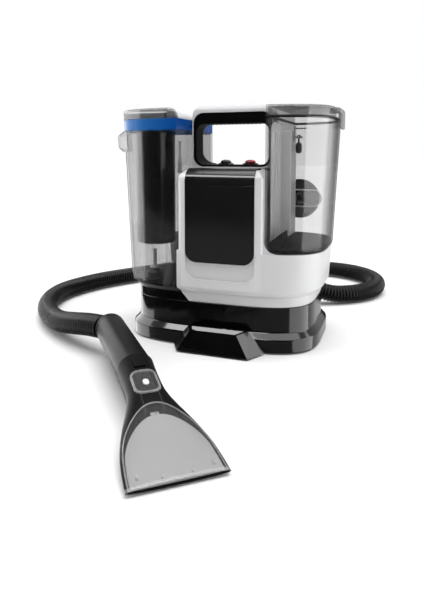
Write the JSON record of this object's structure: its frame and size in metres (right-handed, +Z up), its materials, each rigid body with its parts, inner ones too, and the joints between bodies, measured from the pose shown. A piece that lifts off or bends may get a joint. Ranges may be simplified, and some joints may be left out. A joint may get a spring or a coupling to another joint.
{
  "type": "spot extractor",
  "caption": "Portable carpet and upholstery spot cleaner with clear clean-water and dirty-water tanks, a carrying handle, a flexible suction hose and a hand-held spray tool.",
  "frame": {"origin": "centre of the carrying handle projected onto the underside of the base plate, the plane the machine stands on", "axes": "+X to the machine's right as seen by a user in front of it (dirty-water tank side), +Y to its back, +Z up"},
  "size_m": [0.5749, 0.8635, 0.3385],
  "materials": {
    "white_plastic": "satin-gloss white housing plastic",
    "gloss_black": "polished black plastic",
    "satin_black": "satin black plastic",
    "soft_black": "soft black rubber",
    "smoky_clear": "clear smoke-tinted plastic",
    "clear": "clear plastic",
    "blue_band": "translucent blue plastic ring",
    "tank_cap": "milky white plastic",
    "dark_button": "dark grey push button",
    "red_button": "red push button",
    "grey_valve": "grey moulded plastic",
    "steel": "bare brushed steel",
    "heater_metal": "copper alloy heater casting",
    "board_green": "green circuit laminate"
  },
  "bodies": {
    "machine": {"base_shell": "gloss_black", "base_plate": "satin_black", "foot_pad_front_left": "soft_black", "foot_pad_front_right": "soft_black", "foot_pad_rear_left": "soft_black", "foot_pad_rear_right": "soft_black", "front_lip": "gloss_black", "body_front_shell": "white_plastic", "body_rear_shell": "white_plastic", "front_panel": "gloss_black", "exhaust_grille": "satin_black", "handle_shell": "white_plastic", "handle_lining": "satin_black", "power_button_bezel": "gloss_black", "power_switch": "satin_black", "heat_button_bezel": "gloss_black", "heat_switch": "satin_black", "circuit_board": "board_green", "suction_motor_housing": "satin_black", "motor_mount_ring": "soft_black", "motor_bracket": "satin_black", "suction_duct": "satin_black", "water_pump": "satin_black", "heater_block": "heater_metal", "clean_tank_seat": "gloss_black", "water_inlet_socket": "soft_black", "hose_elbow": "satin_black", "power_cord_gland": "soft_black", "suction_hose": "soft_black", "grip_upper_shell": "satin_black", "grip_lower_shell": "satin_black", "spray_valve": "steel", "hose_collar": "satin_black"},
    "power_button": {"power_button": "dark_button"},
    "heat_button": {"heat_button": "red_button"},
    "suction_fan": {"suction_fan_rotor": "steel"},
    "clean_tank": {"clean_tank_shell": "clear", "clean_tank_band": "blue_band", "clean_tank_cap": "tank_cap", "clean_tank_insert": "gloss_black", "tank_valve_housing": "satin_black"},
    "clean_tank_lid": {"clean_tank_lid": "clear"},
    "tank_valve_plunger": {"tank_valve_plunger": "grey_valve"},
    "dirty_tank": {"dirty_tank_shell": "smoky_clear", "dirty_tank_floor": "soft_black", "separator_duct": "smoky_clear", "float_guide": "steel", "tank_hose_port": "satin_black"},
    "dirty_tank_lid": {"dirty_tank_lid": "smoky_clear", "dirty_tank_seal": "soft_black"},
    "spout_latch": {"dirty_tank_spout_latch": "smoky_clear"},
    "shutoff_float": {"shutoff_float": "soft_black"},
    "spray_trigger": {"spray_trigger": "soft_black"},
    "spray_tool": {"spray_tool_body": "satin_black", "nozzle_window": "clear", "spray_jet": "steel"},
    "tool_release_button": {"tool_release_button": "satin_black"}
  },
  "joints": [
    {"name": "power_button_press", "type": "slide", "parent": "machine", "child": "power_button", "axis": [0, 0, -1], "range_m": [0, 0.0025], "stiffness_N_per_m": 400},
    {"name": "heat_button_press", "type": "slide", "parent": "machine", "child": "heat_button", "axis": [0, 0, -1], "range_m": [0, 0.0025], "stiffness_N_per_m": 400},
    {"name": "suction_fan_spin", "type": "hinge", "parent": "machine", "child": "suction_fan", "pos_m": [0, 0.002, 0.12], "axis": [0, 0, 1], "continuous": true},
    {"name": "clean_tank_lift", "type": "slide", "parent": "machine", "child": "clean_tank", "axis": [0, 0, 1], "range_m": [0, 0.15]},
    {"name": "clean_tank_lid_hinge", "type": "hinge", "parent": "clean_tank", "child": "clean_tank_lid", "pos_m": [-0.11, -0.06015, 0.331], "axis": [-1, 0, 0], "range_deg": [0, 100]},
    {"name": "tank_valve_rise", "type": "slide", "parent": "clean_tank", "child": "tank_valve_plunger", "axis": [0, 0, 1], "range_m": [0, 0.003], "stiffness_N_per_m": 300},
    {"name": "dirty_tank_lift", "type": "slide", "parent": "machine", "child": "dirty_tank", "axis": [0, 0, 1], "range_m": [0, 0.15]},
    {"name": "dirty_tank_lid_lift", "type": "slide", "parent": "dirty_tank", "child": "dirty_tank_lid", "axis": [0, 0, 1], "range_m": [0, 0.05]},
    {"name": "spout_latch_hinge", "type": "hinge", "parent": "dirty_tank_lid", "child": "spout_latch", "pos_m": [0.1366, 0, 0.3306], "axis": [0, -1, 0], "range_deg": [0, 60]},
    {"name": "shutoff_float_rise", "type": "slide", "parent": "dirty_tank", "child": "shutoff_float", "axis": [0, 0, 1], "range_m": [0, 0.0055]},
    {"name": "spray_trigger_squeeze", "type": "hinge", "parent": "machine", "child": "spray_trigger", "pos_m": [-0.04822, -0.26449, 0.01853], "axis": [0.7593, 0.6508, 0], "range_deg": [0, 6.5], "stiffness_Nm_per_rad": 1.5},
    {"name": "spray_tool_pull_off", "type": "slide", "parent": "machine", "child": "spray_tool", "axis": [0.6508, -0.7593, 0], "range_m": [0, 0.04]},
    {"name": "tool_release_press", "type": "slide", "parent": "spray_tool", "child": "tool_release_button", "axis": [-0.1431, 0.1669, -0.9755], "range_m": [0, 0.0015], "stiffness_N_per_m": 800}
  ]
}
